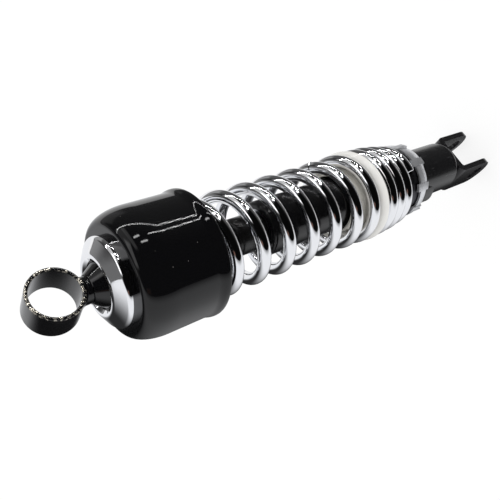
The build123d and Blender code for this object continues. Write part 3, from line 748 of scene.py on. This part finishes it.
def eye_piece():
    """Ring and stem as one piece: the stem's neck flares into the ring along their meeting line."""
    ring_outline = rounded(
        [
            (EYE_R, -eye_half, 0.7),
            (EYE_BORE_R, -eye_half, 0.6),
            (EYE_BORE_R, eye_half, 0.6),
            (EYE_R, eye_half, 0.7),
        ]
    )
    ring = turned("eye_ring", ring_outline, along_x=True, centre=(0, 0, eye_z))
    stem_rings = []
    lower = rounded(
        [
            (ROD_R, low("upper_eye").z, 0),
            (HUB_R, low("upper_eye").z, 0.4),
            (HUB_R, face_z + 0.1, 0),
            (HUB_FLANGE_R, face_z + 0.1, 0),
            (HUB_FLANGE_R, face_z + 1.6, 0.3),
            (HUB_R, face_z + 1.6, 0),
            (HUB_R, CONE_LOW_Z, 0.6),
            (NECK_R, CONE_TOP_Z, 1.2),
        ]
    )
    for i in range(AROUND):
        angle = 2 * math.pi * i / AROUND
        ring_points = [Vector((r * math.cos(angle), r * math.sin(angle), z)) for r, z in lower]
        for step in range(ROUND_STEPS, -1, -1):
            sweep = math.radians(90 * step / ROUND_STEPS)
            r = NECK_R + WELD_ROUND * (1 - math.sin(sweep))
            x = r * math.cos(angle)
            y = r * math.sin(angle)
            touch_z = eye_z - math.sqrt(EYE_R ** 2 - y ** 2)
            z = touch_z - WELD_ROUND * (1 - math.cos(sweep)) + 0.05
            ring_points.append(Vector((min(max(x, -eye_half), eye_half), y, z)))
        ring_points.append(Vector((0, 0, eye_z - EYE_BORE_R - 0.4)))
        ring_points.append(Vector((0, 0, low("upper_eye").z)))
        stem_rings.append(ring_points)
    stem = mesh_piece("eye_stem", *swept_grid(stem_rings, closed_rings=False))
    shape = bmesh.new()
    shape.from_mesh(ring.data)
    for face in shape.faces:
        centre = face.calc_center_median() / MM - Vector((0, 0, eye_z))
        in_bore = math.hypot(centre.y, centre.z) < EYE_BORE_R + 0.05
        face.material_index = 1 if in_bore and abs(centre.x) < eye_half - 0.6 else 0
    shape.from_mesh(stem.data)
    shape.to_mesh(ring.data)
    shape.free()
    ring.data.shade_smooth()
    ring.data.set_sharp_from_angle(angle=math.radians(SHARP_DEG))
    bpy.data.objects.remove(stem)
    ring.name = "eye_and_stem"
    return ring


dress(eye_piece(), "rod", "upper_eye", "black_paint", eye_enamel, bore_coat)

# ---------------------------------------------------------------- damper tube, socket and clevis
TUBE_BORE_R = 14.0
LIP_R = 11.6
LIP_THICKNESS = 1.5
tube_r = high("damper_tube").x
tube_outline = rounded(
    [
        (TUBE_BORE_R, low("damper_tube").z, 0),
        (tube_r, low("damper_tube").z, 0),
        (tube_r, high("damper_tube").z, 2.6),
        (LIP_R, high("damper_tube").z, 0.4),
        (LIP_R, high("damper_tube").z - LIP_THICKNESS, 0.3),
        (TUBE_BORE_R, high("damper_tube").z - LIP_THICKNESS, 0.3),
    ]
)
tube = turned("damper_tube_body", tube_outline)
dress(tube, "damper_body", "damper_tube", "black_paint", tube_coat)
socket = bevelled("socket_body", "lower_socket", 0.25)
dress(socket, "damper_body", "lower_socket", "black_paint", socket_coat)
fork = bevelled("clevis_fork", "lower_clevis", 0.9)
dress(fork, "damper_body", "lower_clevis", "black_paint", clevis_coat)

# ---------------------------------------------------------------- rubber, liner, collar and seat
BUMP_BORE_R = 5.08
bump_r = high("bump_stop").x
bump_low = low("bump_stop").z
bump_top = high("bump_stop").z
bump_outline = rounded(
    [
        (BUMP_BORE_R, bump_low, 0),
        (bump_r - 0.3, bump_low, 0.3),
        (bump_r, bump_low + 2.4, 0.8),
        (bump_r - 1.0, bump_low + 3.4, 0.5),
        (bump_r - 1.0, bump_low + 4.0, 0.5),
        (bump_r, bump_low + 5.0, 0.8),
        (bump_r, bump_top, 4.4),
        (BUMP_BORE_R, bump_top, 0.4),
    ]
)
dress(turned("bump_stop_rubber", bump_outline), "damper_body", "bump_stop", "rubber", rubber)

LINER_BORE_R = 16.9
liner_r = high("spring_guide").x
liner_outline = rounded(
    [
        (LINER_BORE_R, low("spring_guide").z, 0),
        (liner_r, low("spring_guide").z, 0),
        (liner_r, high("spring_guide").z, 0.7),
        (LINER_BORE_R, high("spring_guide").z, 0.4),
    ]
)
liner = turned("spring_guide_liner", liner_outline)
dress(liner, "spring_seat", "spring_guide", "white_plastic", nylon)
collar = bevelled("collar_casting", "preload_collar", 0.3)
dress(collar, "collar", "preload_collar", "zinc_plate", zinc)
seat_ring = bevelled("spring_seat_ring", "lower_spring_seat", 0.3)
dress(seat_ring, "spring_seat", "lower_spring_seat", "dark_steel", seat_coat)

# ---------------------------------------------------------------- carried-over CAD nodes
carried = {
    "pressure_cylinder": steel,
    "foot_valve_body": sinter,
    "foot_valve_plate": spring_sheet,
    "foot_valve_bolt": zinc_steel,
    "rod_guide": sinter,
    "rod_guide_bush": bronze,
    "guide_o_ring": seal_rubber,
    "oil_seal": seal_rubber,
    "seal_garter_spring": spring_sheet,
    "seal_washer": zinc_steel,
    "upper_spring_seat": seat_coat,
    "piston_rod": rod_plate,
    "rod_lock_nut": zinc_steel,
    "bump_washer": zinc_steel,
    "rebound_clip": spring_sheet,
    "rebound_stop": seal_rubber,
    "piston_backing_washer": steel,
    "piston_check_plate": spring_sheet,
    "piston": sinter,
    "piston_ring": ptfe,
    "rebound_shims": spring_sheet,
    "shim_support_washer": steel,
    "piston_nut": zinc_steel,
}
for name, made in carried.items():
    for slot in nodes[name].material_slots:
        slot.material = made

# ---------------------------------------------------------------- studio
# The studio's own up is tipped, so that the shock lies on its side on a white bench in it.
BENCH_TILT_DEG = 36.8
ROOM_UP = Vector((math.cos(math.radians(BENCH_TILT_DEG)), math.sin(math.radians(BENCH_TILT_DEG)), 0))
ROOM_RIGHT = Vector((0.3932, -0.5258, -0.7543))
ROOM_AWAY = ROOM_UP.cross(ROOM_RIGHT)
LAMP_HEIGHT = 2500.0
object_middle = (cad_box[0] + cad_box[1]) / 2


def room_direction(azimuth_deg, elevation_deg):
    """Direction in the studio: azimuth 0 points away from the camera, 90 to its right."""
    azimuth = math.radians(azimuth_deg)
    elevation = math.radians(elevation_deg)
    level = ROOM_RIGHT * math.sin(azimuth) + ROOM_AWAY * math.cos(azimuth)
    return level * math.cos(elevation) + ROOM_UP * math.sin(elevation)


def glow(name, strength):
    """Plain white emission material for a lamp."""
    made = bpy.data.materials.new(name)
    made.use_nodes = True
    graph = Graph(made.node_tree)
    emission = graph.add("ShaderNodeEmission")
    graph.feed(emission.inputs["Strength"], strength)
    output = graph.add("ShaderNodeOutputMaterial")
    graph.feed(output.inputs["Surface"], emission.outputs[0])
    return made


def reflected_only(obj):
    """Stage object that is seen in reflections, but not by the camera or as a light."""
    obj.visible_camera = False
    obj.visible_diffuse = False
    obj.visible_shadow = False
    obj.visible_transmission = False


def lamp_row(name, start, end, count, width, made):
    """Row of square lamps on the ceiling between two points (right, away), in lamp heights."""
    points = []
    faces = []
    for i in range(count):
        right, away = (lerp(start[axis], end[axis], (i + 0.5) / count) for axis in (0, 1))
        offset = ROOM_RIGHT * right + ROOM_AWAY * away + ROOM_UP
        centre = object_middle / MM + offset * LAMP_HEIGHT
        for across, along in ((-1, -1), (1, -1), (1, 1), (-1, 1)):
            points.append(centre + (ROOM_RIGHT * across + ROOM_AWAY * along) * width / 2)
        faces.append(tuple(range(4 * i, 4 * i + 4)))
    mesh = bpy.data.meshes.new(name)
    mesh.from_pydata([point * MM for point in points], [], faces)
    mesh.materials.append(made)
    row = bpy.data.objects.new(name, mesh)
    scene.collection.objects.link(row)
    reflected_only(row)


lamp_glow = glow("lamp_glow", 48.0)
for index, shift in enumerate((-0.014, 0.014)):
    for part, start, end, count, width in (
        ("long", (-1.8, -0.16), (-0.25, 0.29), 40, 36.0),
        ("middle", (-0.25, 0.29), (0.56, 0.42), 22, 32.0),
        ("short", (0.22, 0.02), (0.56, 0.30), 14, 32.0),
    ):
        start = (start[0], start[1] + shift)
        end = (end[0], end[1] + shift)
        lamp_row(f"lamp_row_{part}_{index}", start, end, count, width, lamp_glow)
soft_glow = glow("soft_lamp_glow", 11.0)
lamp_row("lamp_pair_left", (-0.175, -0.225), (-0.005, -0.10), 5, 150.0, soft_glow)
lamp_row("lamp_pair_right", (0.08, -0.32), (0.25, -0.20), 5, 150.0, soft_glow)


BENCH_REACH = 3000.0        # how far the bench runs to the sides and behind the shock
BENCH_NEAR_EDGE = 135.0     # distance from the shock's axis to the bench's front edge
BENCH_EDGE_FADE = 60.0
BENCH_EDGE_GLOW = 0.30
BENCH_SHADE_FROM = 5.0
BENCH_SHADE_TO = 36.0
BENCH_SHADE = 0.03
BENCH_BRIGHTNESS = 0.93
AXIS = Vector((0, 0, 1))
BENCH_ACROSS = AXIS.cross(ROOM_UP)          # level, square to the shock, away from the camera


def bench_material():
    """White bench with the shock's shadow painted on it under the shock, and darker towards its front edge.
    """
    made = bpy.data.materials.new("bench_white")
    made.use_nodes = True
    g = Graph(made.node_tree)
    place = g.add("ShaderNodeNewGeometry").outputs["Position"]
    across = g.math("DIVIDE", g.dot(place, tuple(BENCH_ACROSS)), MM)
    # painted shadow: the bench's emission is dimmed near the shock's axis in place of the shock's cast
    # shadow
    shade = g.ramp(g.math("ABSOLUTE", across), BENCH_SHADE_FROM, BENCH_SHADE_TO, BENCH_SHADE, 1.0)
    fade = g.ramp(across, -BENCH_NEAR_EDGE, BENCH_EDGE_FADE - BENCH_NEAR_EDGE, BENCH_EDGE_GLOW, 1.0)
    emission = g.add("ShaderNodeEmission")
    g.feed(emission.inputs["Color"], (0.97, 0.98, 1.0, 1))
    light = g.math("MULTIPLY", g.math("MULTIPLY", shade, fade), BENCH_BRIGHTNESS)
    g.feed(emission.inputs["Strength"], light)
    output = g.add("ShaderNodeOutputMaterial")
    g.feed(output.inputs["Surface"], emission.outputs[0])
    return made


def build_bench():
    """The bench that the shock lies on, as its reflections show it."""
    centre = object_middle / MM - ROOM_UP * high("shroud").x
    sides = ((-BENCH_REACH, -BENCH_NEAR_EDGE), (BENCH_REACH, -BENCH_NEAR_EDGE))
    sides += ((BENCH_REACH, BENCH_REACH), (-BENCH_REACH, BENCH_REACH))
    corners = [centre + AXIS * along + BENCH_ACROSS * across for along, across in sides]
    mesh = bpy.data.meshes.new("bench")
    mesh.from_pydata([corner * MM for corner in corners], [], [(0, 1, 2, 3)])
    mesh.materials.append(bench_material())
    bench = bpy.data.objects.new("bench", mesh)
    scene.collection.objects.link(bench)
    reflected_only(bench)


build_bench()


def patch(g, look, azimuth, elevation, half_width, half_height, lean_deg=0.0, soft=0.25):
    """1 inside a soft-edged rectangle of the room as seen from the shock, sizes in degrees."""
    middle = room_direction(azimuth, elevation)
    level = ROOM_UP.cross(middle).normalized()
    lean = Quaternion(middle, math.radians(lean_deg))
    across = lean @ level
    tall = lean @ middle.cross(level)
    facing = g.math("MAXIMUM", g.dot(look, tuple(middle)), 0.05)
    inside = g.ramp(g.dot(look, tuple(middle)), 0.05, 0.10)
    for axis, half in ((across, half_width), (tall, half_height)):
        reach = math.tan(math.radians(half))
        offset = g.math("ABSOLUTE", g.math("DIVIDE", g.dot(look, tuple(axis)), facing))
        within = g.ramp(offset, reach * (1 - soft), reach * (1 + soft), 1.0, 0.0)
        inside = g.math("MULTIPLY", inside, within)
    return inside


def build_world():
    """White for the camera, soft white light on matt surfaces, and a photographer's room in reflections."""
    world = bpy.data.worlds.new("studio")
    scene.world = world
    world.use_nodes = True
    world.cycles.sampling_method = "NONE"
    g = Graph(world.node_tree)
    look = g.add("ShaderNodeTexCoord").outputs["Generated"]
    up = g.dot(look, tuple(ROOM_UP))
    away = g.dot(look, tuple(ROOM_AWAY))
    # white paper runs from the bench up behind the shock
    edge = g.ramp(away, -0.1, 0.9, -0.30, 0.32)
    paper = g.ramp(g.math("SUBTRACT", up, edge), -0.02, 0.03, 0.95, 0.0)
    paper = g.math("MULTIPLY", paper, g.ramp(away, -0.35, -0.05))
    room = g.ramp(away, -0.15, 0.55, 0.0025, 0.10)
    for strength, *shape in (
        (1.45, -136, 32, 11, 20, 28),      # edge of the window
        (0.50, -108, 45, 17, 18),          # window pane
        (0.75, -118, 67, 24, 5),           # blind above it
        (0.15, -102, 2, 42, 16),           # pale wall below it
        (0.20, -45, 25, 18, 14),           # far corner of the wall
    ):
        room = g.math("MULTIPLY_ADD", patch(g, look, *shape), strength, room)
    brown = patch(g, look, 178, -10, 9, 4.5, 0.0, 0.4)
    room = g.math("MULTIPLY_ADD", brown, 0.16, room)
    mirrored = g.math("MAXIMUM", paper, room)
    soft = g.ramp(up, -1.0, 1.0, 0.65, 1.15)
    path = g.add("ShaderNodeLightPath").outputs
    seen = g.mix(path["Is Glossy Ray"], soft, mirrored)
    strength = g.mix(path["Is Camera Ray"], seen, 1.0)
    background = g.add("ShaderNodeBackground")
    coloured = g.math("MULTIPLY", brown, path["Is Glossy Ray"])
    g.feed(background.inputs["Color"], g.tint(coloured, (1, 1, 1, 1), (1.0, 0.50, 0.36, 1)))
    g.feed(background.inputs["Strength"], strength)
    output = g.add("ShaderNodeOutputWorld")
    g.feed(output.inputs["Surface"], background.outputs[0])


build_world()


FLOOR_HALF_SIZE = 20000.0


def build_floor():
    """Pale floor under the standing shock, left out of the reflections."""
    mesh = bpy.data.meshes.new("floor")
    half = FLOOR_HALF_SIZE * MM
    level = cad_box[0].z
    corners = [(-half, -half, level), (half, -half, level), (half, half, level), (-half, half, level)]
    mesh.from_pydata(corners, [], [(0, 1, 2, 3)])
    made = bpy.data.materials.new("pale_floor")
    made.use_nodes = True
    g = Graph(made.node_tree)
    diffuse = g.add("ShaderNodeBsdfDiffuse")
    g.feed(diffuse.inputs["Color"], (0.25, 0.25, 0.25, 1))
    emission = g.add("ShaderNodeEmission")
    g.feed(emission.inputs["Strength"], 0.80)
    both = g.add("ShaderNodeAddShader")
    g.feed(both.inputs[0], diffuse.outputs[0])
    g.feed(both.inputs[1], emission.outputs[0])
    output = g.add("ShaderNodeOutputMaterial")
    g.feed(output.inputs["Surface"], both.outputs[0])
    mesh.materials.append(made)
    floor = bpy.data.objects.new("floor", mesh)
    scene.collection.objects.link(floor)
    floor.visible_glossy = False


build_floor()

# ---------------------------------------------------------------- camera
CAMERA_AZIMUTH_DEG = 70.0
CAMERA_ELEVATION_DEG = 36.07
CAMERA_ROLL_DEG = -111.07
CAMERA_DISTANCE = 317.3
CAMERA_AIM = Vector((-4.2, -11.7, 211.0))
CAMERA_LENS = 42.46
CAMERA_SHIFT = (-0.0102, 0.0100)


def build_camera():
    """Camera above the eye end, rolled so that the shock runs across the frame."""
    camera = bpy.data.objects.new("camera", bpy.data.cameras.new("camera"))
    scene.collection.objects.link(camera)
    azimuth = math.radians(CAMERA_AZIMUTH_DEG)
    elevation = math.radians(CAMERA_ELEVATION_DEG)
    back = Vector((
        math.sin(azimuth) * math.cos(elevation),
        -math.cos(azimuth) * math.cos(elevation),
        math.sin(elevation),
    ))
    camera.location = (CAMERA_AIM + back * CAMERA_DISTANCE) * MM
    camera.rotation_mode = "QUATERNION"
    roll = Quaternion((0, 0, 1), math.radians(CAMERA_ROLL_DEG))
    camera.rotation_quaternion = (-back).to_track_quat("-Z", "Y") @ roll
    camera.data.lens = CAMERA_LENS
    camera.data.shift_x, camera.data.shift_y = CAMERA_SHIFT
    camera.data.clip_start = 0.01
    scene.camera = camera


build_camera()
scene.view_settings.view_transform = "Standard"
